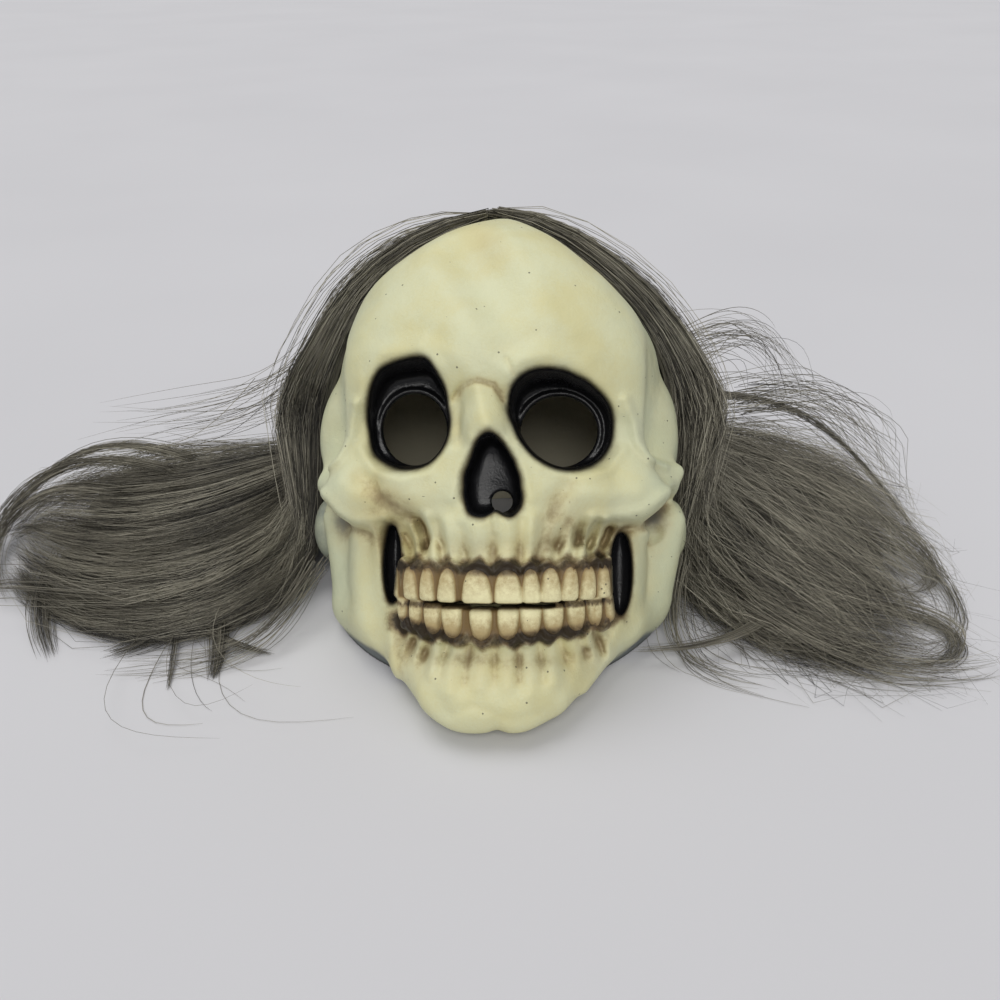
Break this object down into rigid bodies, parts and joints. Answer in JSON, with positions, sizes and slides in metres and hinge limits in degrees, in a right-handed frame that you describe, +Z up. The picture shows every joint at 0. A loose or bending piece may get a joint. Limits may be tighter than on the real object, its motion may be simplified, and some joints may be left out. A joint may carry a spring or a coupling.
{
  "type": "skull mask",
  "caption": "Hollow over-the-head latex skull mask with open eye holes and neck, leaning back on its rim, with long hair parted in the middle and spread to both sides.",
  "frame": {"origin": "middle of the whole part's footprint, on the table plane", "axes": "+Z up from the table, -Y to the side the face looks to, +X to the viewer's right when looking at the face; the spread hair makes X the longest side"},
  "size_m": [0.5748, 0.3016, 0.2173],
  "materials": {
    "bone_latex": "matt painted latex, gloss black in the hollows",
    "grey_hair": "soft synthetic fibre"
  },
  "bodies": {
    "root": {"skull_shell": "bone_latex", "hair_left": "grey_hair", "hair_right": "grey_hair"}
  },
  "joints": []
}
